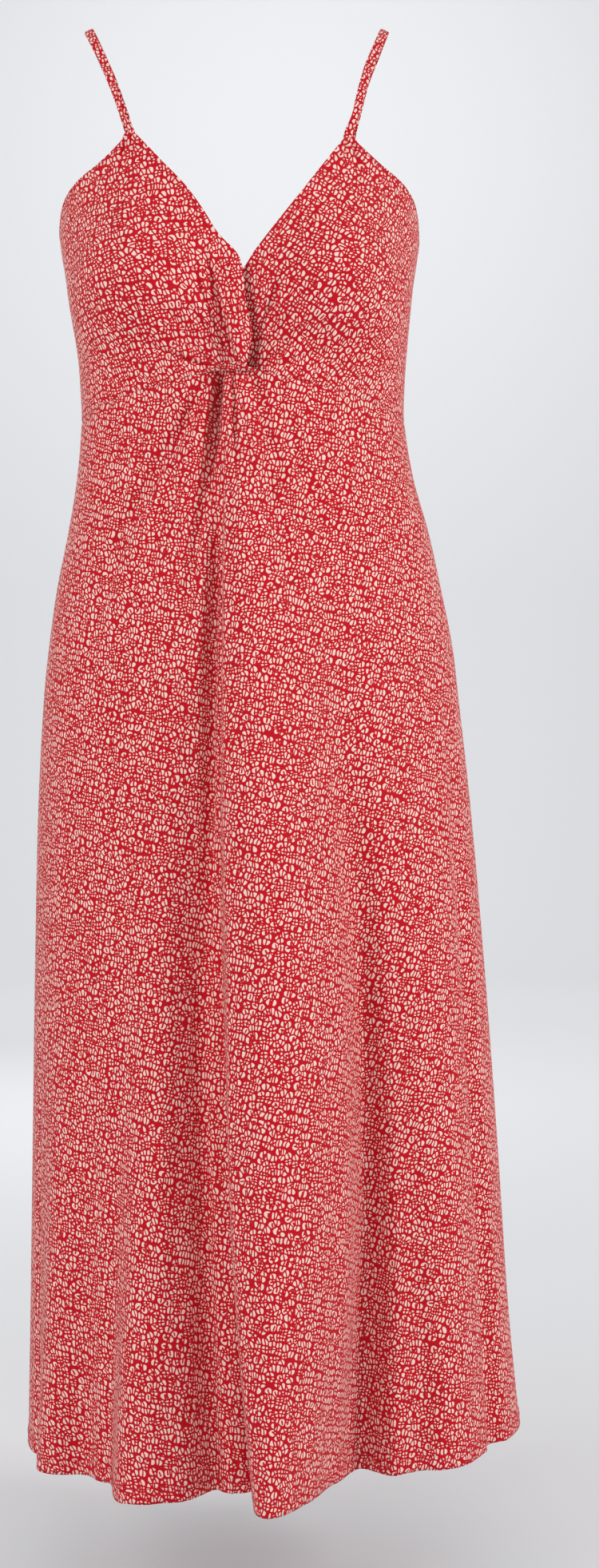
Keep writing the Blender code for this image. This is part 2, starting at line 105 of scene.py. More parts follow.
Fold = namedtuple("Fold", "name start end x0 x1 x2 lift0 lift1 lift2 reach_right reach_left")
SKIRT_FOLDS = table(
    Fold,
    ("under pleat edge", 330, 1300, -9, -12, 16, -3, -7, -4, 17, 4),
    ("deep crease", 318, 560, -12, -29, -48, -9, -8, 0, 9, 9),
    ("ridge by deep crease", 340, 600, -8, -19, -36, 2, 4, 0, 8, 8),
    ("long slanting crease", 330, 540, -22, -86, -134, -2, -5, 0, 12, 11),
    ("ridge over it", 334, 560, -18, -70, -120, 1, 3, 0, 12, 13),
    ("short left crease", 345, 500, -40, -54, -72, -1, -4, 0, 10, 10),
    ("thin centre crease", 350, 530, -3, -1, 2, 0, -3, 0, 7, 7),
    ("right crease", 326, 540, 17, 33, 56, -4, -6, 0, 10, 10),
    ("outer right crease", 335, 470, 34, 55, 76, -2, -3, 0, 10, 11),
    ("left panel crest", 700, 1300, -62, -70, -76, 0, 15, 47, 33, 170),
    ("valley by the pleat", 560, 1300, -30, -24, -12, 0, -15, -22, 36, 27),
    ("left front corner", 900, 1300, -150, -153, -156, 0, 7, 18, 30, 30),
    ("right valley", 560, 1300, 90, 114, 109, 0, -16, -25, 26, 28),
    ("right crest", 620, 1300, 155, 176, 186, 0, 8, 13, 44, 42),
    ("right side groove", 600, 1300, 184, 207, 229, -1, -6, -9, 15, 16),
)
# Smaller creases that only the cloth shows: gathers fanning out of the twist, drag lines over the hips and
# shallow drape lines down the flare.
SKIRT_CREASES = table(
    Fold,
    ("gather one", 324, 450, -20, -42, -70, -3.2, -2.6, 0, 9, 3),
    ("centre slit", 324, 430, -2, 1, 6, -6.5, -5.5, 0, 2.4, 5),
    ("gather two", 326, 420, -26, -52, -80, -2.2, -2.0, 0, 8, 3),
    ("gather three", 323, 440, -14, -22, -32, -6.4, -5.0, 0, 4, 8),
    ("gather four", 324, 460, 12, 32, 54, -2.6, -2.6, 0, 3, 9),
    ("gather five", 325, 430, 16, 40, 70, -2.0, -1.8, 0, 3, 8),
    ("gather six", 323, 470, 2, 10, 18, -2.4, -2.8, 0, 3, 8),
    ("gather seven", 323, 390, 8, 14, 22, -2.0, -1.8, 0, 3, 5),
    ("gather eight", 324, 400, -8, -14, -22, 1.6, 1.8, 0, 4, 3),
    ("drag line left", 470, 760, -58, -76, -92, 0, -2.0, 0, 13, 15),
    ("drag line beside", 430, 640, -96, -118, -134, 0, -1.6, 0, 12, 12),
    ("drag line right", 450, 760, 66, 82, 96, 0, -1.8, 0, 14, 14),
    ("left long hollow", 640, 1180, -34, -38, -40, 0, -2.4, 0, 16, 18),
    ("left side hollow", 820, 1300, -122, -126, -130, 0, -2.5, -7, 20, 18),
    ("left side drape", 740, 1300, -172, -174, -176, 0, -1.6, -3, 8, 9),
    ("inner left drape", 980, 1300, -52, -50, -48, 0, -2.5, -6, 13, 13),
    ("crest dimple", 640, 1100, 30, 40, 48, 0, -1.6, 0, 9, 10),
    ("right of crest", 760, 1300, 62, 70, 66, 0, 1.8, 3.5, 12, 12),
    ("right hollow", 700, 1200, 132, 142, 150, 0, -2.2, 0, 15, 16),
    ("right drape", 900, 1300, 150, 156, 160, 0, -1.8, -4, 11, 12),
    ("shade at the pleat", 328, 900, -14, -19, -22, -5, -8, 0, 13, 5),
    ("long slanting shade", 332, 570, -24, -86, -136, -1.5, -2.8, 0, 7, 4),
    ("short slanting shade", 334, 520, -34, -62, -92, -1.5, -2.4, 0, 6, 4),
    ("right slanting shade", 334, 540, 22, 46, 74, -1.5, -2.4, 0, 4, 6),
    ("shade by the pleat", 640, 1300, -30, -26, -16, 0, -7, -9, 14, 10),
    ("valley floor right", 700, 1300, 106, 121, 116, 0, -6, -7, 13, 15),
    ("hem wave right", 1120, 1320, 128, 130, 132, 0, 2, 5, 14, 14),
    ("hem wave left", 1130, 1320, -20, -14, -8, 0, -2, -6, 12, 12),
)
SKIRT_FRONT_GRID = (250, 88, 92)  # rows, columns right of the pleat's edge, columns left of it
FINE_AT_EDGE, FINE_AT_SEAM, FINE_AT_NECKLINE = 1.5, 1.15, 1.15  # how far rows and columns crowd up there
FOLD_ROUNDING = 1.6  # more than 1 gives a fold a softer foot
FOLD_LEAD, FOLD_FADE = 4, 14  # how far above its start a fold begins, and the length over which it does
EMPIRE_DIP = (0.7, 1.8)  # depth and reach of the groove along the empire seam
HEM_TURN, HEM_SWELL, HEM_STEP = 13, 0.5, 1.5  # the turned hem: its height, how far it swells and how softly
FAR_FROM_HEM = 900
PRINT_SETTLES = 300  # how far below the seam the print follows every fold
JERSEY_THICKNESS = 1.1


def smooth(share):
    share = np.clip(share, 0, 1)
    return share * share * (3 - 2 * share)


def curve(places, values, at):
    """A smooth curve through places and their values, read at many places at once."""
    places, values = np.asarray(places, float), np.asarray(values, float)
    rises = np.diff(values) / np.diff(places)
    middle_slopes = (values[2:] - values[:-2]) / (places[2:] - places[:-2])
    slopes = np.concatenate(([rises[0]], middle_slopes, [rises[-1]]))
    at = np.clip(at, places[0], places[-1])
    k = np.clip(np.searchsorted(places, at, "right") - 1, 0, len(rises) - 1)
    span = places[k + 1] - places[k]
    t = (at - places[k]) / span
    held = (2 * t**3 - 3 * t**2 + 1) * values[k] + (3 * t**2 - 2 * t**3) * values[k + 1]
    return held + span * ((t**3 - 2 * t**2 + t) * slopes[k] + (t**3 - t**2) * slopes[k + 1])


def column(rows, name, drop):
    """One column of a table, read at many drops."""
    return curve([row.drop for row in rows], [getattr(row, name) for row in rows], drop)


def seam_drop(turn):
    """How far down the empire seam is: a shallow V with a rounded middle, level across the back."""
    fall = np.hypot(np.sin(turn), SEAM_ROUNDING) - SEAM_ROUNDING
    whole = math.hypot(1, SEAM_ROUNDING) - SEAM_ROUNDING
    front = SEAM_FRONT_DROP + (SEAM_SIDE_DROP - SEAM_FRONT_DROP) * fall / whole
    return np.where(np.abs(turn) > QUARTER, SEAM_SIDE_DROP, front)


def plain_place(turn, drop):
    """The plain garment's place in plan, before any fold."""
    across, ahead = np.sin(turn), np.cos(turn)
    width = np.where(across > 0, column(FORM, "left", drop), column(FORM, "right", drop))
    depth = np.where(ahead > 0, column(FORM, "front", drop), column(FORM, "back", drop))
    fuller = 1 + column(FORM, "corner", drop) * np.sin(2 * turn) ** 2
    return np.stack((width * across * fuller, -depth * ahead * fuller), -1)


def plain_points(turn, drop):
    """The plain garment's outside at a grid of places."""
    return np.concatenate((plain_place(turn, drop), -drop[..., None]), -1)


def turn_at(x, drop, behind=False):
    """The turn at which the plain garment is x across."""
    width = np.where(np.asarray(x) > 0, column(FORM, "left", drop), column(FORM, "right", drop))
    corner = column(FORM, "corner", drop)
    turn = np.zeros_like(width)
    for _ in range(4):
        turn = np.arcsin(np.clip(x / (width * (1 + corner * np.sin(2 * turn) ** 2)), -1, 1))
    return (math.pi - turn) % (2 * math.pi) if behind else turn


def plain_frame(turn, drop):
    """The plain garment's place, outward and sideways directions, and its pace for each radian."""
    along = plain_place(turn + NUDGE, drop) - plain_place(turn - NUDGE, drop)
    length = np.linalg.norm(along, axis=-1)
    along = along / length[..., None]
    outward = np.stack((along[..., 1], -along[..., 0]), -1)
    return plain_place(turn, drop), outward, along, length / (2 * NUDGE)


def fold_lifts(rows, turn, drop, pace, behind=False):
    """How far a table of folds lifts the cloth, all together."""
    lifts = np.zeros_like(pace)
    for fold in rows:
        stations = (fold.start, (fold.start + fold.end) / 2, fold.end)
        x = curve(stations, (fold.x0, fold.x1, fold.x2), drop)
        lift = curve(stations, (fold.lift0, fold.lift1, fold.lift2), drop)
        away = (turn - turn_at(x, drop, behind)) * pace
        reach = np.where((away > 0) != behind, fold.reach_left, fold.reach_right)
        share = np.abs(away) / reach
        rounded = np.cos(QUARTER * np.minimum(share, 1)) ** FOLD_ROUNDING
        begun = smooth((drop - fold.start + FOLD_LEAD) / FOLD_FADE) * (drop < fold.end)
        lifts += lift * rounded * begun
    return lifts


def pleat_lifts(turn, drop, pace):
    """How far the main pleat lifts the cloth: a tight roll, then a crest and a long fall to its foot."""
    edge, crest, foot = (column(PLEAT, name, drop) for name in ("edge", "crest", "foot"))
    edge_lift, crest_lift = column(PLEAT, "edge_lift", drop), column(PLEAT, "crest_lift", drop)
    away = (turn - turn_at(edge, drop)) * pace
    rising = edge_lift + (crest_lift - edge_lift) * np.sin(QUARTER * np.clip(away / (crest - edge), 0, 1))
    past_crest = np.clip((away - crest + edge) / (foot - crest), 0, 1)
    falling = crest_lift * np.cos(QUARTER * past_crest) ** FOLD_ROUNDING
    lift = np.where(away < crest - edge, rising, falling)
    return np.where(away > 0, lift * (1 - np.exp(-np.maximum(away, 0) / PLEAT_ROLL)), 0)


def seam_dip(distance, depth=1.0, reach=2.6):
    """The shallow groove that the cloth makes beside a seam, a distance away from it."""
    return -depth * np.exp(-((distance / reach) ** 2))


def skirt_points(turn, drop, hem_distance):
    """The skirt's outside, front or back, at a grid of places."""
    place, outward, along, pace = plain_frame(turn, drop)
    behind = bool(np.mean(turn) > QUARTER)
    pleat = np.zeros_like(pace)
    if behind:
        lift = fold_lifts(BACK_FOLDS + BACK_CREASES, turn, drop, pace, behind)
    else:
        lift = fold_lifts(SKIRT_FOLDS + SKIRT_CREASES, turn, drop, pace)
        pleat = pleat_lifts(turn, drop, pace)
    side = np.minimum(np.abs(turn - QUARTER), np.abs(np.abs(turn - math.pi) - QUARTER))
    side = np.minimum(side, np.abs(turn + QUARTER))
    lift += seam_dip(side * pace) + seam_dip(drop - seam_drop(turn), *EMPIRE_DIP)
    lift += HEM_SWELL * smooth((HEM_TURN - hem_distance) / HEM_STEP)
    place = place + outward * (lift + pleat)[..., None] - along * (pleat * PLEAT_LEAN)[..., None]
    return np.concatenate((place, -drop[..., None]), -1)


def hem_drop(turn):
    """How far down the hem is: it leans a little and rises at both sides."""
    return HEM_DROP - HEM_LEAN * np.sin(turn) - HEM_SIDE_RISE * np.sin(turn) ** 4


def lengths_along(points, axis):
    """How far each point lies along the cloth from the first one of its row or column."""
    steps = np.linalg.norm(np.diff(points, axis=axis), axis=-1)
    start = np.zeros_like(np.take(steps, [0], axis=axis))
    return np.cumsum(np.concatenate((start, steps), axis=axis), axis=axis)


def new_object(name, data):
    """An object in the scene that shows a mesh, a lamp or a camera."""
    made = bpy.data.objects.new(name, data)
    bpy.context.scene.collection.objects.link(made)
    return made


def new_material(name):
    """A material and its tree of nodes."""
    material = bpy.data.materials.new(name)
    material.use_nodes = True
    return material, material.node_tree


def printed_mesh(name, points, faces, layout, materials):
    """A smooth mesh with a place on the printed cloth, in metres, for each corner of its faces."""
    mesh = bpy.data.meshes.new(name)
    mesh.from_pydata((points.reshape(-1, 3) * MM).tolist(), [], faces)
    places = mesh.uv_layers.new(name="print")
    places.data.foreach_set("uv", np.asarray(layout, np.float32).ravel())
    mesh.polygons.foreach_set("use_smooth", np.ones(len(faces), bool))
    for material in materials:
        mesh.materials.append(material)
    return mesh


def cloth_piece(name, points, across, down, materials, thickness=JERSEY_THICKNESS):
    """A thin panel of cloth on a grid of points, its print laid out by distances across and down it."""
    rows, columns = points.shape[:2]
    index = np.arange(rows * columns).reshape(rows, columns)
    faces = np.stack((index[:-1, :-1], index[1:, :-1], index[1:, 1:], index[:-1, 1:]), -1).reshape(-1, 4)
    layout = np.stack((across, down), -1).reshape(-1, 2)[faces.reshape(-1)] * MM
    piece = new_object(name, printed_mesh(name, points, faces.tolist(), layout, materials))
    shell = piece.modifiers.new("thickness", "SOLIDIFY")
    shell.thickness = thickness * MM
    shell.offset = -1
    shell.material_offset = len(materials) - 1
    return piece


def dress_piece(piece, node):
    """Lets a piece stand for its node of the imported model."""
    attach(piece, "root")
    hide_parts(node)


def linear(hex_colour):
    """An sRGB hex colour as linear red, green, blue and alpha."""
    parts = [int(hex_colour[i : i + 2], 16) / 255 for i in (1, 3, 5)]
    return [c / 12.92 if c < 0.04045 else ((c + 0.055) / 1.055) ** 2.4 for c in parts] + [1.0]


def add(tree, kind, inputs=(), **settings):
    """Adds a node with its settings, and links or sets its inputs by name or number."""
    node = tree.nodes.new(kind)
    for name, value in settings.items():
        setattr(node, name, value)
    for name, value in dict(inputs).items():
        if isinstance(value, bpy.types.NodeSocket):
            tree.links.new(value, node.inputs[name])
        else:
            node.inputs[name].default_value = value
    return node


CELL = 5.7  # from one spot of the print to the next
CELL_TURN = 0.3  # radians: the cells lie askew, so that they make no level rows
CELL_SCATTER = 0.68  # how unevenly the cells lie: 0 for a square grid, 1 for chance alone
DRIFT = 3.2  # how far the print wanders from an even pattern
SPOT_REACH = 3.5  # a spot's rounded corners keep within this distance of its middle
SPOT_ROUNDING, CUT_ROUNDING = 1.5, 1.1
SPOT_RIM = (0.48, 0.70)  # the paint's soft rim: distances inside the spot's outline
SPOT_TILT, SPOT_SHIFT = 0.8, 1.1  # by how much spots differ in tilt, in radians, and in their cuts' place
SLIT_HALF_LENGTH, SLIT_HALF_WIDTH = 1.3, 0.1  # the hole in a ring, before its corners are rounded
# A spot's kind is a chance from 0 to 1, and these are the kinds with each cut. An upright cut leaves two
# bars, a level one as well leaves four dots, and a half level one a bar and two dots.
UPRIGHT_CUT, LEVEL_CUT, HALF_CUT = (0.0, 0.80), (0.38, 0.68), (0.68, 0.80)
HOLE, GAP = (0.80, 1.0), (0.91, 1.0)
ANY_WAY = (0.90, 0.91)  # open rings face any way
CUT_LEAVES = 900.0  # how fast a cut moves away from the spots outside its kinds
KNIT_HEIGHT = 0.05  # of the knit's ribs, beside the cloth's soft unevenness


def printed_jersey(name, red, cream, contrast):
    """Soft viscose jersey, printed all over with small cream animal spots on red.

    The knit is matte with a faint bloom of loose fibre, so grazing edges turn paler. The spots are drawn in
    the cloth's own millimetres: rounded cells about 6 mm apart, each parted by chance into two upright bars,
    a bar and two dots, four dots, or an upright ring that is now and then open at one side.
    """
    material, tree = new_material(name)
    tree.nodes.clear()
    place = add(tree, "ShaderNodeTexCoord").outputs["UV"]

    def vector_math(operation, *inputs, result="Vector", **named):
        values = {**dict(enumerate(inputs)), **named}
        return add(tree, "ShaderNodeVectorMath", values, operation=operation).outputs[result]

    def math_node(operation, *inputs):
        return add(tree, "ShaderNodeMath", dict(enumerate(inputs)), operation=operation).outputs[0]

    def soft_step(value, low, high):
        inputs = {"Value": value, "From Min": low, "From Max": high}
        return add(tree, "ShaderNodeMapRange", inputs, interpolation_type="SMOOTHSTEP").outputs["Result"]

    def blend(share, a, b):
        return add(tree, "ShaderNodeMix", {0: share, 6: a, 7: b}, data_type="RGBA").outputs[2]

    def noise(scale, detail):
        inputs = {"Vector": flat, "Scale": scale, "Detail": detail}
        return add(tree, "ShaderNodeTexNoise", inputs, noise_dimensions="2D").outputs

    def rotated(vector, angle):
        inputs = {"Vector": vector, "Angle": angle}
        return add(tree, "ShaderNodeVectorRotate", inputs, rotation_type="Z_AXIS").outputs[0]

    flat = vector_math("SCALE", place, Scale=1 / MM)
    centred = vector_math("SUBTRACT", noise(scale=0.085, detail=1.5)["Color"], (0.5, 0.5, 0.5))
    moved = vector_math("MULTIPLY_ADD", centred, (DRIFT, DRIFT, 0), flat)
    scaled = vector_math("SCALE", rotated(moved, CELL_TURN), Scale=1 / CELL)
    inputs = {"Vector": scaled, "Scale": 1.0, "Randomness": CELL_SCATTER}
    edges = add(tree, "ShaderNodeTexVoronoi", inputs, voronoi_dimensions="2D", feature="DISTANCE_TO_EDGE")
    spots = add(tree, "ShaderNodeTexVoronoi", inputs, voronoi_dimensions="2D", feature="F1")
    chance = add(tree, "ShaderNodeSeparateColor", {0: spots.outputs["Color"]})
    kind, lean, offset = (chance.outputs[i] for i in range(3))

    # a place inside its cell, in millimetres, turned a little by chance
    local = vector_math("SUBTRACT", scaled, spots.outputs["Position"])
    local = vector_math("SCALE", local, Scale=CELL)
    tilt = math_node("MULTIPLY_ADD", lean, SPOT_TILT, -SPOT_TILT / 2 - CELL_TURN)
    any_way = math_node("MULTIPLY", soft_step(kind, *ANY_WAY), lean)
    tilt = math_node("MULTIPLY_ADD", any_way, 2 * math.pi, tilt)
    local = rotated(local, tilt)
    parts = add(tree, "ShaderNodeSeparateXYZ", {0: local})
    shift = math_node("MULTIPLY_ADD", offset, SPOT_SHIFT, -SPOT_SHIFT / 2)
    x = math_node("SUBTRACT", parts.outputs[0], shift)
    y = math_node("ADD", parts.outputs[1], shift)
    x_away, y_away = math_node("ABSOLUTE", x), math_node("ABSOLUTE", y)

    def only_for(kinds, distance):
        """Keeps a cut to the spots whose kind is between two shares."""
        below = math_node("SUBTRACT", kinds[0], kind)
        above = math_node("SUBTRACT", kind, kinds[1])
        outside = math_node("MAXIMUM", math_node("MAXIMUM", below, above), 0.0)
        return math_node("MULTIPLY_ADD", outside, CUT_LEAVES, distance)

    radius = vector_math("LENGTH", local, result="Value")
    corner = math_node("MULTIPLY_ADD", radius, -1.0, SPOT_REACH)
    spot = math_node("MULTIPLY", edges.outputs["Distance"], CELL)
    spot = math_node("SMOOTH_MIN", spot, corner, SPOT_ROUNDING)
    one_side = math_node("MAXIMUM", y_away, math_node("MULTIPLY", x, -1.0))
    beyond = math_node("MAXIMUM", math_node("SUBTRACT", y_away, SLIT_HALF_LENGTH), 0.0)
    squares = (math_node("MULTIPLY", reach, reach) for reach in (x, beyond))
    slit = math_node("SUBTRACT", math_node("SQRT", math_node("ADD", *squares)), SLIT_HALF_WIDTH)
    cuts = ((UPRIGHT_CUT, x_away), (LEVEL_CUT, y_away), (HALF_CUT, one_side), (HOLE, slit), (GAP, one_side))
    for kinds, distance in cuts:
        spot = math_node("SMOOTH_MIN", spot, only_for(kinds, distance), CUT_ROUNDING)
    spotted = math_node("MULTIPLY", soft_step(spot, *SPOT_RIM), contrast)

    shade = noise(scale=0.05, detail=2.0)[0]
    ground, paint = (blend(shade, linear(dye[0]), linear(dye[1])) for dye in (red, cream))
    colour = blend(spotted, ground, paint)

    # a stitch of the knit is really about 0.4 mm wide, and it is drawn at 1.1 mm to show at all
    inputs = {"Vector": flat, "Scale": 0.29, "Distortion": 1.2, "Detail": 1.0, "Detail Scale": 2.0}
    knit = add(tree, "ShaderNodeTexWave", inputs, bands_direction="X")
    creping = noise(scale=0.11, detail=3.0)[0]
    height = math_node("ADD", math_node("MULTIPLY", knit.outputs[0], KNIT_HEIGHT), creping)
    bump = add(tree, "ShaderNodeBump", {"Strength": 0.35, "Distance": 0.0012, "Height": height})
    inputs = {
        "Base Color": colour,
        "Roughness": 0.72,
        "Specular IOR Level": 0.16,
        "Sheen Weight": 0.12,
        "Sheen Roughness": 0.45,
        "Sheen Tint": linear("#ffd9d4"),
        "Normal": bump.outputs[0],
    }
    shader = add(tree, "ShaderNodeBsdfPrincipled", inputs)
    add(tree, "ShaderNodeOutputMaterial", {"Surface": shader.outputs[0]})
    return material


REDS, CREAMS = ("#c4061d", "#b70216"), ("#f5d3c9", "#efc9bf")
REVERSE_REDS, REVERSE_CREAMS = ("#d08085", "#c9767c"), ("#f4e3da", "#efd9d0")
jersey = printed_jersey("printed_viscose_jersey", REDS, CREAMS, 1.0)
reverse = printed_jersey("jersey_reverse_side", REVERSE_REDS, REVERSE_CREAMS, 0.8)

rows, right_columns, left_columns = SKIRT_FRONT_GRID
right_steps = -(np.linspace(1, 0, right_columns + 1)[:-1] ** FINE_AT_EDGE)
steps = np.concatenate((right_steps, np.linspace(0, 1, left_columns + 1) ** FINE_AT_EDGE))[None, :]
share = (np.linspace(0, 1, rows + 1) ** FINE_AT_SEAM)[:, None]
middle_drop = SEAM_FRONT_DROP * (1 - share) + HEM_DROP * share
edge_turn = turn_at(column(PLEAT, "edge", middle_drop), middle_drop)
turns = edge_turn + steps * np.where(steps > 0, QUARTER - edge_turn, QUARTER + edge_turn)
drops = seam_drop(turns) * (1 - share) + hem_drop(turns) * share
points = skirt_points(turns, drops, hem_drop(turns) - drops)
# near the seam the print is laid out on the plain form, so that the gathers there don't shear it
plain = lengths_along(plain_points(turns, drops), 1)
folded = lengths_along(points, 1)
plain, folded = (reach - reach[:, right_columns][:, None] for reach in (plain, folded))
across = plain + (folded - plain) * smooth((drops - seam_drop(turns)) / PRINT_SETTLES)
skirt_front = cloth_piece("skirt_front_panel", points, across, -drops, (jersey, reverse))
dress_piece(skirt_front, "skirt_front")

STITCH = {"pitch": 3.6, "length": 2.6, "radius": 0.3, "proud": 0.1}
HEM_ROWS = (9.0, 12.4)  # the hem's two rows of coverstitch, above its edge
EDGE_ROW = 4.6  # the one row inside the neckline, the armholes and the back's top edge


def beside_edge(cloth, distance):
    """A line of sewing along the cloth's outside, some way in from its first row of points."""
    reach = lengths_along(cloth, 0)
    line = np.empty_like(cloth[0])
    for place in range(cloth.shape[1]):
        for axis in range(3):
            line[place, axis] = np.interp(distance, reach[:, place], cloth[:, place, axis])
    outward = np.cross(np.gradient(line, axis=0), cloth[2] - cloth[0])
    outward /= np.linalg.norm(outward, axis=1)[:, None] + 1e-9
    outward *= np.sign(np.sum(outward[:, :2] * line[:, :2], 1))[:, None]
    return line + outward * STITCH["proud"]


def polyester_thread():
    """Spun polyester sewing thread, dyed red and barely glossy. Its two plies show as fine slanting bands."""
    material, tree = new_material("red_sewing_thread")
    shader = tree.nodes["Principled BSDF"]
    place = add(tree, "ShaderNodeTexCoord").outputs["Object"]
    inputs = {"Vector": place, "Scale": 0.3 / MM, "Distortion": 0.6}
    plies = add(tree, "ShaderNodeTexWave", inputs, bands_direction="DIAGONAL").outputs["Fac"]
    inputs = {0: plies, 6: linear("#b8162b"), 7: linear("#cf2c3d")}
    tone = add(tree, "ShaderNodeMix", inputs, data_type="RGBA")
    bump = add(tree, "ShaderNodeBump", {"Strength": 0.4, "Distance": 0.0002, "Height": plies})
    tree.links.new(tone.outputs[2], shader.inputs["Base Color"])
    tree.links.new(bump.outputs[0], shader.inputs["Normal"])
    shader.inputs["Roughness"].default_value = 0.55
    shader.inputs["Specular IOR Level"].default_value = 0.3
    return material


def stitch_tree():
    """Sets one short stitch after another along each line of a mesh."""
    tree = bpy.data.node_groups.new("row_of_stitches", "GeometryNodeTree")
    socket = tree.interface.new_socket
    socket("Lines", in_out="INPUT", socket_type="NodeSocketGeometry")
    for size in ("Pitch", "Length", "Radius"):
        socket(size, in_out="INPUT", socket_type="NodeSocketFloat")
    socket("Thread", in_out="INPUT", socket_type="NodeSocketMaterial")
    socket("Stitches", in_out="OUTPUT", socket_type="NodeSocketGeometry")
    given = add(tree, "NodeGroupInput").outputs
    curves = add(tree, "GeometryNodeMeshToCurve", {0: given["Lines"]})
    inputs = {0: curves.outputs[0], "Length": given["Pitch"]}
    places = add(tree, "GeometryNodeCurveToPoints", inputs, mode="LENGTH")
    turned = add(tree, "FunctionNodeAlignRotationToVector", {"Vector": places.outputs["Tangent"]}, axis="Z")
    sizes = {"Vertices": 6, "Radius": given["Radius"], "Depth": given["Length"]}
    stitch = add(tree, "GeometryNodeMeshCylinder", sizes)
    inputs = {"Points": places.outputs[0], "Instance": stitch.outputs[0], "Rotation": turned.outputs[0]}
    row = add(tree, "GeometryNodeInstanceOnPoints", inputs)
    real = add(tree, "GeometryNodeRealizeInstances", {0: row.outputs[0]})
    dyed = add(tree, "GeometryNodeSetMaterial", {"Geometry": real.outputs[0], "Material": given["Thread"]})
    add(tree, "NodeGroupOutput", {0: dyed.outputs[0]})
    return tree


def sew(name, lines):
    """Rows of stitches along lines on the cloth."""
    verts = np.concatenate(lines)
    edges, start = [], 0
    for line in lines:
        edges += [(i, i + 1) for i in range(start, start + len(line) - 1)]
        start += len(line)
    mesh = bpy.data.meshes.new(name + "_lines")
    mesh.from_pydata((verts * MM).tolist(), edges, [])
    carrier = new_object(name + "_lines", mesh)
    rows_of_stitches = carrier.modifiers.new("stitches", "NODES")
    rows_of_stitches.node_group = STITCHES
    values = {size: STITCH[size.lower()] * MM for size in ("Pitch", "Length", "Radius")}
    values["Thread"] = THREAD
    for item in STITCHES.interface.items_tree:
        if item.in_out == "INPUT" and item.name in values:
            rows_of_stitches[item.identifier] = values[item.name]
    evaluated = carrier.evaluated_get(bpy.context.evaluated_depsgraph_get())
    sewn = new_object(name, bpy.data.meshes.new_from_object(evaluated))
    bpy.data.objects.remove(carrier)
    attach(sewn, "root")


THREAD = polyester_thread()
STITCHES = stitch_tree()
sew("front_hem_stitches", [beside_edge(points[::-1], height) for height in HEM_ROWS])

# -------------------------------- back skirt panel
# The plain back panel of the same jersey, hemmed like the front one and sewn to it at both sides. It hangs
# from the level back seam in soft, uneven flares.

BACK_FOLDS = table(
    Fold,
    ("back right corner", 560, 1300, -132, -150, -164, 0, 16, 40, 60, 48),
    ("back right valley", 620, 1300, -86, -98, -104, 0, -7, -14, 30, 30),
    ("back centre right", 520, 1300, -34, -42, -50, 0, 12, 28, 42, 40),
    ("back centre valley", 600, 1300, 8, 6, 4, 0, -6, -12, 28, 28),
    ("back centre left", 540, 1300, 44, 54, 62, 0, 14, 31, 40, 44),
    ("back left valley", 640, 1300, 100, 118, 130, 0, -6, -12, 30, 30),
    ("back left corner", 580, 1300, 142, 170, 190, 0, 10, 22, 44, 50),
)
BACK_CREASES = table(
    Fold,
    ("waist drag right", 352, 470, -40, -52, -60, -1.4, -2.0, 0, 12, 12),
    ("waist drag left", 352, 450, 36, 46, 52, -1.2, -1.8, 0, 12, 12),
    ("seat fold right", 700, 1150, -66, -72, -76, 0, -2.6, 0, 14, 14),
    ("seat fold centre", 640, 1240, -12, -16, -20, 0, 2.2, 3, 12, 14),
    ("seat fold left", 720, 1210, 84, 90, 94, 0, 2.4, 0, 14, 16),
    ("side drape left", 760, 1300, 196, 214, 222, 0, -2.4, -6, 14, 14),
    ("side drape right", 800, 1300, -168, -172, -176, 0, -2.2, -5, 10, 10),
)
BACK_GRID = (200, 150)
BACK_PRINT, BODICE_PRINT, TWIST_PRINT = 2000, 4000, 300  # each panel is cut from another part of the cloth

rows, columns = BACK_GRID
share = np.linspace(0, 1, rows + 1)[:, None]
turns = np.linspace(QUARTER, 3 * QUARTER, columns + 1)[None, :] + 0 * share
drops = SEAM_SIDE_DROP * (1 - share) + hem_drop(turns) * share
points = skirt_points(turns, drops, hem_drop(turns) - drops)
across = lengths_along(points, 1)
across = across - across[:, columns // 2][:, None]
skirt_back = cloth_piece("skirt_back_panel", points, across + BACK_PRINT, -drops, (jersey, reverse))
dress_piece(skirt_back, "skirt_back")
sew("back_hem_stitches", [beside_edge(points[::-1], height) for height in HEM_ROWS])

# -------------------------------- front bodice panels
# Two soft cups of the same jersey, each cut in one piece, its neckline and armhole turned under and stitched.
# Their spare cloth is gathered at the middle, where the right panel crosses over the left one and both run
# into the twist.

UNDERARM_DROP = 191
BUST = {"x": 88, "drop": 236, "lift": 31, "spread_x": 47, "spread_drop": 60, "fade": 60}
Edge = namedtuple("Edge", "drop x")
CupCut = namedtuple("CupCut", "side inner outer folds")

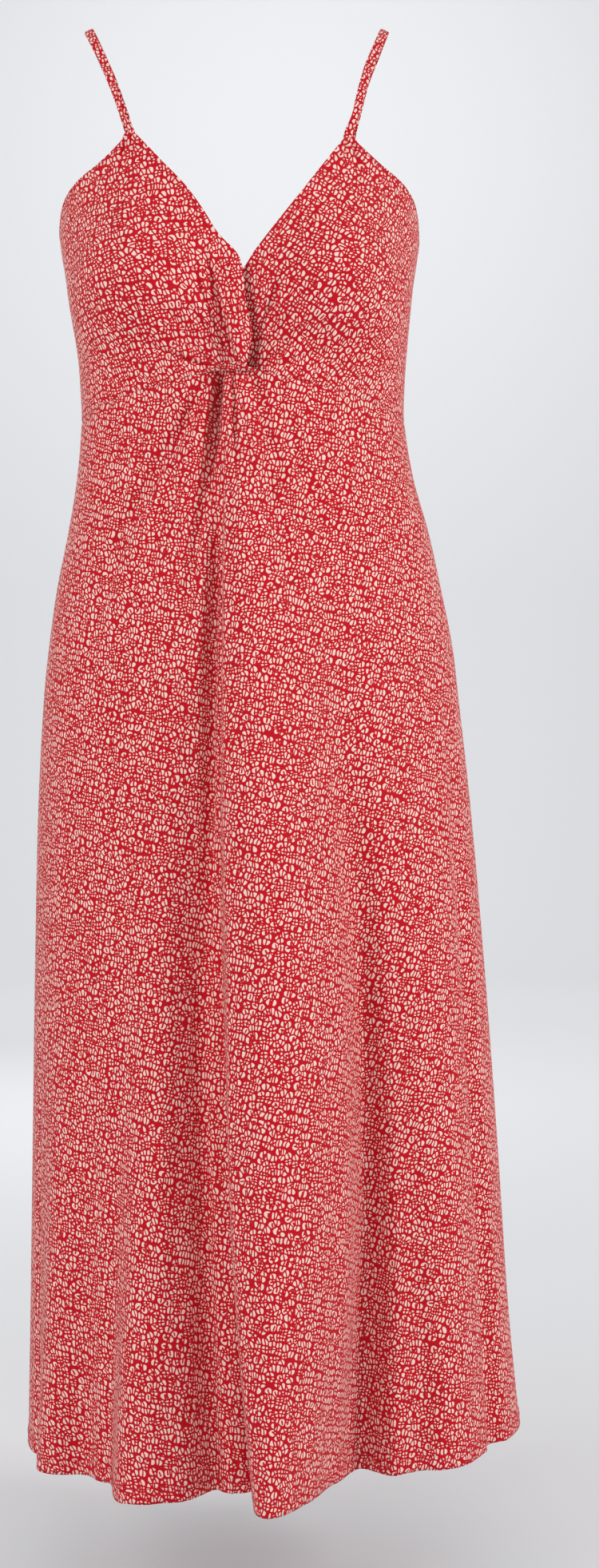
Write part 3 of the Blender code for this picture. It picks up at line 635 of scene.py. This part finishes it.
CUP_RIGHT = CupCut(
    side=-1,
    inner=table(
        Edge, (115, -87), (145, -61), (166, -42), (187, -27), (208, -14), (229, 4),
        (264, 9), (292, 14), (322, 9),
    ),
    outer=table(Edge, (115, -96), (122, -99), (139, -118), (151, -140), (164, -154), (191, -161)),
    folds=table(
        Fold,
        ("edge roll", 200, 340, -8, 0, 4, 0, 5, 4, 12, 12),
        ("crease beside roll", 226, 322, -23, -15, 0, -1, -5, -4, 8, 8),
        ("low radiating crease", 262, 324, -72, -38, -8, 0, -3, -2, 10, 10),
        ("lowest radiating crease", 296, 326, -86, -46, -10, 0, -2, -2, 8, 8),
        ("sharp crease one", 204, 322, -29, -14, 1, 0, -4.6, -4.0, 3.5, 2.8),
        ("ridge by crease one", 212, 322, -22, -9, 5, 0, 2.0, 1.5, 4, 4),
        ("sharp crease two", 226, 322, -38, -21, -2, 0, -4.2, -3.6, 4, 3),
        ("ridge by crease two", 232, 322, -30, -17, 0, 0, 2.0, 1.2, 4, 4),
        ("sharp crease three", 258, 322, -44, -23, -5, 0, -3.6, -3.2, 4, 3),
        ("sharp crease four", 276, 322, -70, -40, -10, 0, -2.4, -2.6, 5, 3),
        ("sharp crease five", 296, 322, -88, -52, -13, 0, -1.6, -2.0, 5, 3),
        ("point gather one", 113, 152, -93, -97, -103, -1.8, -2.0, 0, 2.6, 3),
        ("point gather two", 113, 146, -90, -88, -86, -1.8, -1.8, 0, 2.6, 3),
        ("armhole drag", 186, 250, -140, -132, -122, -0.7, -0.8, 0, 15, 15),
        ("side drag", 236, 316, -142, -136, -128, 0, -0.7, 0, 14, 14),
    ),
)
CUP_LEFT = CupCut(
    side=1,
    inner=table(Edge, (119, 93.5), (166, 59.5), (208, 28), (230, 12), (245, 3), (292, 4), (322, 0)),
    outer=table(Edge, (119, 102.5), (123, 105), (139, 125), (151, 146), (164, 158), (191, 162)),
    folds=table(
        Fold,
        ("tuck under the roll", 226, 345, 4, 12, 6, -3, -7, -4, 16, 15),
        ("upper radiating crease", 262, 318, 46, 28, 13, 0, -4, -3, 8, 8),
        ("middle radiating crease", 272, 322, 78, 44, 16, 0, -3, -2, 9, 9),
        ("lowest radiating crease", 300, 328, 92, 52, 18, 0, -2, -2, 8, 8),
        ("sharp crease one", 232, 320, 44, 27, 12, 0, -4.6, -3.8, 3, 4),
        ("ridge by crease one", 226, 320, 50, 33, 15, 0, 2.0, 1.6, 4, 5),
        ("sharp crease two", 252, 321, 62, 38, 13, 0, -3.4, -3.2, 3, 5),
        ("sharp crease three", 276, 322, 86, 48, 15, 0, -2.4, -2.8, 3, 5),
        ("sharp crease four", 298, 322, 96, 56, 17, 0, -1.6, -2.0, 3, 5),
        ("point gather one", 117, 152, 99, 103, 108, -1.8, -2.0, 0, 2.6, 3),
        ("point gather two", 117, 146, 96, 94, 91, -1.8, -1.8, 0, 2.6, 3),
        ("armhole drag", 186, 250, 144, 136, 126, -0.7, -0.8, 0, 15, 15),
        ("side drag", 240, 320, 146, 142, 136, 0, -0.7, 0, 14, 14),
    ),
)
CROSSING_WIDTH, CROSSING_SETBACK = 18, 3
EDGE_TURN, EDGE_SWELL, EDGE_STEP = 6, 0.55, 1.6  # the turned edges: width, how far they swell and how softly
NECKLINE_TURN_ENDS = 226  # below it the neckline is gathered in
UNDERARM_REACH = 8  # how far below the underarm the armhole's turn runs
SIDE_SEAM_LEAD = 4  # how far above the underarm the side seam's groove starts
UNSEWN_POINTS = 3  # beside the strap
FLAT = 50  # a distance that is well inside every turned edge
CUP_GRID = (190, 170)


def bust_lifts(turn, x, drop):
    """How far the bust lifts the front, fading to nothing at the seams."""
    away = ((np.abs(x) - BUST["x"]) / BUST["spread_x"]) ** 2
    away = away + ((drop - BUST["drop"]) / BUST["spread_drop"]) ** 2
    fade = smooth(2 * np.cos(turn)) * smooth((seam_drop(turn) - drop) / BUST["fade"])
    return BUST["lift"] * np.exp(-away) * fade


def cup_points(cup, turn, drop):
    """A front bodice panel's outside at a grid of places."""
    place, outward, _, pace = plain_frame(turn, drop)
    lift = bust_lifts(turn, place[..., 0], drop) + fold_lifts(cup.folds, turn, drop, pace)
    lift += seam_dip((QUARTER - np.abs(turn)) * pace) * (drop > UNDERARM_DROP - SIDE_SEAM_LEAD)
    lift += seam_dip(seam_drop(turn) - drop, *EMPIRE_DIP)
    place = place + outward * lift[..., None]
    if cup.side > 0:
        past = (place[..., 0] - column(CUP_RIGHT.inner, "x", drop)) / CROSSING_WIDTH
        place[..., 1] += CROSSING_SETBACK * (1 - smooth(past))
    return np.concatenate((place, -drop[..., None]), -1)


def cup_edge_turns(cup, share):
    """The turns of a cup's inner and outer edges, a share of the way down from its point to the seam."""
    top = cup.inner[0].drop
    inner_drop = top + share * (SEAM_FRONT_DROP - top)
    outer_drop = top + share * (SEAM_SIDE_DROP - top)
    inner = turn_at(column(cup.inner, "x", inner_drop), inner_drop)
    outer = turn_at(column(cup.outer, "x", outer_drop), outer_drop)
    outer = np.where(outer_drop < UNDERARM_DROP, np.abs(outer), QUARTER)
    return inner, cup.side * np.minimum(outer, QUARTER)


PARTS_ROUND = (0.07, 0.21, 0.36, 0.5, 0.64, 0.79, 0.93)  # where the pace is measured on the way round


def distance_round(turn, drop):
    """How far round the plain garment a place is from centre front."""
    paces = [plain_frame(turn * part, drop)[3] for part in PARTS_ROUND]
    return turn * np.mean(paces, axis=0)


GRAIN_LEAN = 0.40  # how far the cups' cloth is turned, in radians, so that its grain runs down into the twist
GRAIN_FAN = 0.0016  # how fast the gathers draw it together, for each millimetre along the grain
CUP_MIDDLE = (75, 235)  # the distance round and the drop at which the cloth is turned
NECKLINE_SEWN_TO = 206  # below it the stitches are hidden in the gathers


def fanned_grain(turn, drop, cup):
    """Distances across and along the grain of a cup, which leans and closes up towards the twist."""
    reach = distance_round(turn, drop) - cup.side * CUP_MIDDLE[0]
    below = drop - CUP_MIDDLE[1]
    lean = cup.side * GRAIN_LEAN
    over = reach * math.cos(lean) + below * math.sin(lean)
    along = below * math.cos(lean) - reach * math.sin(lean)
    return over * (1 + GRAIN_FAN * along), along


def cup_piece(name, cup):
    """A whole front bodice panel."""
    rows, columns = CUP_GRID
    share = np.linspace(0, 1, rows + 1)[:, None]
    part = (np.linspace(0, 1, columns + 1) ** FINE_AT_NECKLINE)[None, :]
    inner, outer = cup_edge_turns(cup, share)
    foot_inner, foot_outer = cup_edge_turns(cup, np.ones((1, 1)))
    top = cup.inner[0].drop
    turns = inner + (outer - inner) * part
    drops = top + share * (seam_drop(foot_inner + (foot_outer - foot_inner) * part) - top)
    points = cup_points(cup, turns, drops)
    across = lengths_along(points, 1)
    at_side_seam = drops > UNDERARM_DROP + UNDERARM_REACH
    from_edge = np.minimum(across, across[:, -1:] - across + FLAT * at_side_seam)
    from_edge = np.where(drops > NECKLINE_TURN_ENDS, FLAT, from_edge)
    points[..., 1] -= EDGE_SWELL * smooth((EDGE_TURN - from_edge) / EDGE_STEP)
    neckline = beside_edge(points.transpose(1, 0, 2), EDGE_ROW)
    armhole = beside_edge(points[:, ::-1].transpose(1, 0, 2), EDGE_ROW)
    neckline = neckline[-neckline[:, 2] < NECKLINE_SEWN_TO]
    armhole = armhole[-armhole[:, 2] < UNDERARM_DROP + EDGE_ROW]
    sew(name + "_edge_stitches", [neckline[UNSEWN_POINTS:], armhole[UNSEWN_POINTS:]])
    if cup.side < 0:
        points, turns, drops = points[:, ::-1], turns[:, ::-1], drops[:, ::-1]
    across, down = fanned_grain(turns, drops, cup)
    return cloth_piece(name, points, across, -down, (jersey, reverse))


cup_right = cup_piece("right_cup_panel", CUP_RIGHT)
cup_left = cup_piece("left_cup_panel", CUP_LEFT)
dress_piece(cup_right, "cup_right")
dress_piece(cup_left, "cup_left")

# -------------------------------- back bodice panel
# A plain band of the same jersey, from side seam to side seam. Its top edge is turned under and stitched,
# and dips a little in the middle. The two straps are sewn to its inside.

BACK_DIP = 9  # of its top edge
BACK_SEAM_DIP = 1.2  # depth of the groove along its lower seam
BACK_BODICE_GRID = (60, 150)

rows, columns = BACK_BODICE_GRID
share = np.linspace(0, 1, rows + 1)[:, None]
turns = np.linspace(QUARTER, 3 * QUARTER, columns + 1)[None, :] + 0 * share
tops = UNDERARM_DROP + BACK_DIP * np.cos(turns) ** 2
drops = tops * (1 - share) + SEAM_SIDE_DROP * share
place, outward, _, pace = plain_frame(turns, drops)
side = np.minimum(turns - QUARTER, 3 * QUARTER - turns) * pace
lift = seam_dip(side) + seam_dip(SEAM_SIDE_DROP - drops, BACK_SEAM_DIP)
lift = lift + EDGE_SWELL * smooth((EDGE_TURN - drops + tops) / EDGE_STEP)
place = place + outward * lift[..., None]
points = np.concatenate((place, -drops[..., None]), -1)
across = lengths_along(points, 1) + BODICE_PRINT
bodice_back = cloth_piece("back_bodice_panel", points, across, -drops, (jersey, reverse))
dress_piece(bodice_back, "bodice_back")
sew("back_edge_stitches", [beside_edge(points, EDGE_ROW)])

# -------------------------------- twist
# The place where the two gathered panels wrap round each other at centre front: a short, tight roll of their
# jersey in small folds, which lies over the seam and holds the skirt's pleats.

TWIST = {"x": -1, "width": 42, "height": 7.5, "bulge": 2.8, "gap": 0.6, "near_turn": 0.022, "near_drop": 2}
TWIST_ARCH, TWIST_TOP = 3.2, 0.3  # how far it arches, and where its highest place is, right of its middle
TWIST_TAPER, TWIST_TAPER_LEFT = 0.55, 0.25  # how far it narrows towards both ends, and further on the left
WRAPS_DOWN, WRAPS_ACROSS = 1.1, 0.9  # waves of its strands over half its height and half its width
TWIST_STANDS, TWIST_THICKNESS = 0.8, 0.8  # how far its rim stands off its bed, and how thick its cloth is
TWIST_DRAWN_DOWN, TWIST_DRAWN_ACROSS = 1.5, 1.3  # how much closer together its gathered print lies
TWIST_GRID = (44, 130)


def bed_under_twist(turn, drop):
    """The place in front of all the cloth near here, which the twist lies against."""
    nearest = np.full(turn.shape, np.inf)
    for i in (-1, -0.5, 0, 0.5, 1):
        for j in (-1, 0, 1):
            near = turn + TWIST["near_turn"] * i, drop + TWIST["near_drop"] * j
            skirt = skirt_points(*near, FAR_FROM_HEM + 0 * drop)
            for cloth in (cup_points(CUP_RIGHT, *near), cup_points(CUP_LEFT, *near), skirt):
                nearest = np.minimum(nearest, cloth[..., 1])
    return np.stack((plain_place(turn, drop)[..., 0], nearest - TWIST["gap"], -drop), -1)


rows, columns = TWIST_GRID
t = np.linspace(-1, 1, rows + 1)[:, None]
s = np.linspace(-1, 1, columns + 1)[None, :] + 0 * t
arch = TWIST_ARCH * (np.abs(s + TWIST_TOP) ** 1.5 - 0.5)
narrowing = 1 - TWIST_TAPER * np.abs(s) ** 1.4 - TWIST_TAPER_LEFT * smooth(s)
drops = SEAM_FRONT_DROP + arch + TWIST["height"] / 2 * narrowing * t
turns = turn_at(TWIST["x"] + TWIST["width"] / 2 * s, drops)
bed = bed_under_twist(turns, drops)
wrapped = 2 * math.pi * (WRAPS_DOWN * t + WRAPS_ACROSS * s)
# each strand is rounded with a narrow groove beside it, and finer gathers run along it
strands = 0.78 + 0.34 * np.abs(np.cos(wrapped)) ** 0.7 + 0.1 * np.cos(3.1 * wrapped + 1)
bulge = TWIST["bulge"] * np.sqrt(1 - s**2) * (1 - t**2) ** 0.6 * strands
points = bed - np.stack((0 * s, TWIST_STANDS + bulge, 0 * s), -1)
across = -points[..., 2] * TWIST_DRAWN_DOWN + TWIST_PRINT
along = points[..., 0] * TWIST_DRAWN_ACROSS
twist = cloth_piece("twist_wrap", points, across, along, (jersey, jersey), TWIST_THICKNESS)
dress_piece(twist, "twist")

# -------------------------------- shoulder straps
# Narrow tubes of the same jersey, turned right side out and pressed flat. Each is sewn inside the point of
# its cup, goes over the shoulder and is sewn inside the top edge of the back.

STRAP = {"width": 8.5, "thickness": 2.2, "tuck": 9, "back_x": 89, "flatness": 1.1, "steps": 150, "sides": 20}
STRAP_SIDE_ROUNDING, STRAP_FACE_ROUNDING = 0.7, 0.8  # less than 1 squares the tube's section
CHEST_WIDTH, CHEST_DEPTH = 162, 92  # half sizes of the form that they lie flat on
WALL, SEAM_GAP = 1.8, 0.3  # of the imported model
STRAP_INSIDE = 0.6  # its middle lies this many of its thicknesses inside the wall
Rest = namedtuple("Rest", "x y drop")
STRAP_RIGHT = table(
    Rest,
    (-98, -82, 98), (-105, -73, 76), (-114, -57, 49), (-126, -35, 20),
    (-133, -18, 4), (-134, -4, -1.2), (-131, 12, 2.5), (-126, 30, 11),
    (-118, 49, 27), (-109, 63, 51), (-102, 74, 74), (-96, 81, 100),
)
STRAP_LEFT = table(
    Rest,
    (103, -82, 98), (108, -73, 76), (115, -57, 49), (125, -35, 20),
    (130, -18, 4), (131, -4, -1.2), (128, 12, 2.5), (123, 30, 11),
    (115, 49, 27), (108, 63, 51), (102, 74, 74), (97, 81, 100),
)
# Each strap twists a little edge-on above its cup. This is how much of its width shows, by distance from its
# front end.
TAPER_STATIONS = (0, 14, 30, 62, 105, 160)
TAPER_RIGHT = (0.9, 0.52, 0.44, 0.66, 0.95, 1)
TAPER_LEFT = (0.95, 0.84, 0.8, 0.88, 1, 1)


def tucked_places(surface, turn, edge_drop):
    """Two places for a strap's middle inside the cloth: just above a free edge, and at the strap's end."""
    inward = WALL + 2 * SEAM_GAP + STRAP["thickness"] * STRAP_INSIDE
    places = []
    for drop in (edge_drop - STRAP["tuck"] / 3, edge_drop + STRAP["tuck"]):
        turns = turn + np.array([-NUDGE, 0.0, NUDGE])
        before, middle, after = surface(turns, np.full(3, float(drop)))
        along = after - before
        outward = np.array((along[1], -along[0], 0)) / np.hypot(along[0], along[1])
        places.append(middle - inward * outward)
    return places


def strap_piece(name, cup, rests, tapers):
    """A flat tube swept along the strap's route."""
    point = turn_at((cup.inner[0].x + cup.outer[0].x) / 2, np.array(float(cup.inner[0].drop)))
    above_front, front_end = tucked_places(partial(cup_points, cup), float(point), cup.inner[0].drop)
    back_turn = float(turn_at(cup.side * STRAP["back_x"], np.array(float(UNDERARM_DROP)), behind=True))
    back_top = UNDERARM_DROP + BACK_DIP * math.cos(back_turn) ** 2
    above_back, back_end = tucked_places(plain_points, back_turn, back_top)
    knots = [front_end, above_front] + [np.array((r.x, r.y, -r.drop)) for r in rests] + [above_back, back_end]
    knots = np.array(knots)
    reach = np.concatenate(([0], np.cumsum(np.linalg.norm(np.diff(knots, axis=0), axis=1))))
    at = np.linspace(0, reach[-1], STRAP["steps"] + 1)
    route = np.stack([curve(reach, knots[:, axis], at) for axis in range(3)], -1)
    ahead = np.gradient(route, axis=0)
    ahead /= np.linalg.norm(ahead, axis=1)[:, None]
    up = np.stack((route[:, 0] / CHEST_WIDTH**2, route[:, 1] / CHEST_DEPTH**2), -1)
    up = np.concatenate((up, np.full((len(up), 1), STRAP["flatness"] / CHEST_DEPTH)), 1)
    up -= ahead * np.sum(up * ahead, 1)[:, None]
    up /= np.linalg.norm(up, axis=1)[:, None]
    side = np.cross(up, ahead)
    angle = np.linspace(0, 2 * math.pi, STRAP["sides"] + 1)
    half_width, half_thickness = STRAP["width"] / 2, STRAP["thickness"] / 2
    flat_x = half_width * np.sign(np.cos(angle)) * np.abs(np.cos(angle)) ** STRAP_SIDE_ROUNDING
    flat_y = half_thickness * np.sign(np.sin(angle)) * np.abs(np.sin(angle)) ** STRAP_FACE_ROUNDING
    pinch = curve(TAPER_STATIONS, tapers, at)
    rings = route[:, None] + side[:, None] * (flat_x * pinch[:, None])[..., None]
    rings = rings + up[:, None] * flat_y[:, None]
    rings = rings[:, ::-1]
    around = lengths_along(rings, 1)
    rows, columns = rings.shape[:2]
    wrap = columns - 1
    faces, corners = [], []
    for r in range(rows - 1):
        for c in range(wrap):
            d = (c + 1) % wrap
            faces.append((r * wrap + c, (r + 1) * wrap + c, (r + 1) * wrap + d, r * wrap + d))
            corners += [(around[r, c], -at[r]), (around[r + 1, c], -at[r + 1])]
            corners += [(around[r + 1, c + 1], -at[r + 1]), (around[r, c + 1], -at[r])]
    faces.append(tuple(range(wrap)))
    faces.append(tuple(range((rows - 1) * wrap, rows * wrap))[::-1])
    corners += [(0, 0)] * (2 * wrap)
    layout = np.array(corners, np.float32) * MM
    return new_object(name, printed_mesh(name, rings[:, :-1], faces, layout, (jersey,)))


strap_right = strap_piece("right_shoulder_strap", CUP_RIGHT, STRAP_RIGHT, TAPER_RIGHT)
strap_left = strap_piece("left_shoulder_strap", CUP_LEFT, STRAP_LEFT, TAPER_LEFT)
dress_piece(strap_right, "strap_right")
dress_piece(strap_left, "strap_left")

# -------------------------------- studio
# A pale seamless sweep of paper: a floor that bends up into a wall far behind, with a lamp of its own. Three
# softboxes light the dress from in front, the one on the right nearly side-on so that the pleats cast soft
# shade, and a fourth stands behind. The camera stands level, two metres in front, as in the photograph.

PHOTO = {"lens": 50, "distance": 1963, "x": 54.7, "drop": 675}
FLOOR_DROP = 1400
ROOM = {"front": -7.0, "bend": 6.2, "radius": 1.6, "height": 6.0, "half_width": 7.0}  # metres

sweep = bpy.data.meshes.new("paper_sweep")
profile = [(ROOM["front"], 0.0), (ROOM["bend"], 0.0)]
for angle in np.linspace(0, QUARTER, 25)[1:]:
    profile.append((ROOM["bend"] + ROOM["radius"] * math.sin(angle), ROOM["radius"] * (1 - math.cos(angle))))
profile.append((ROOM["bend"] + ROOM["radius"], ROOM["height"]))
half_width = ROOM["half_width"]
corners = [(x, y, z - FLOOR_DROP * MM) for y, z in profile for x in (-half_width, half_width)]
sweep.from_pydata(corners, [], [(2 * i, 2 * i + 1, 2 * i + 3, 2 * i + 2) for i in range(len(profile) - 1)])
sweep.polygons.foreach_set("use_smooth", [True] * len(sweep.polygons))
paper, paper_tree = new_material("matte_paper")
surface = paper_tree.nodes["Principled BSDF"].inputs
surface["Base Color"].default_value = linear("#ebecee")
surface["Roughness"].default_value = 0.95
sweep.materials.append(paper)
backdrop = new_object("paper_sweep", sweep)


def soft_light(name, power, size, place, target=(0.03, 0.0, -0.6)):
    """A square lamp that faces its target."""
    lamp = bpy.data.lights.new(name, "AREA")
    lamp.energy, lamp.size = power, size
    holder = new_object(name, lamp)
    holder.location = place
    holder.rotation_euler = (Vector(target) - Vector(place)).to_track_quat("-Z", "Y").to_euler()


soft_light("right_softbox", 31, 0.9, (2.4, -1.0, 0.2))
soft_light("left_softbox", 28.5, 1.5, (-1.9, -1.7, 0.4))
soft_light("front_softbox", 16, 1.8, (0.3, -2.9, 0.8))
soft_light("back_softbox", 26, 1.8, (-0.9, 3.0, 0.9))
soft_light("backdrop_lamp", 96, 3.0, (0.0, 4.2, 2.9), target=(0.0, 7.6, -0.7))
world = bpy.data.worlds.new("studio")
world.use_nodes = True
sky = world.node_tree.nodes["Background"].inputs
sky["Color"].default_value = linear("#f6f8fa")
sky["Strength"].default_value = 0.45
bpy.context.scene.world = world
bpy.context.scene.view_settings.view_transform = "Standard"

camera_data = bpy.data.cameras.new("photo_camera")
camera_data.lens = PHOTO["lens"]
camera = new_object("photo_camera", camera_data)
camera.location = (PHOTO["x"] * MM, -PHOTO["distance"] * MM, -PHOTO["drop"] * MM)
camera.rotation_euler = (QUARTER, 0, 0)
bpy.context.scene.camera = camera
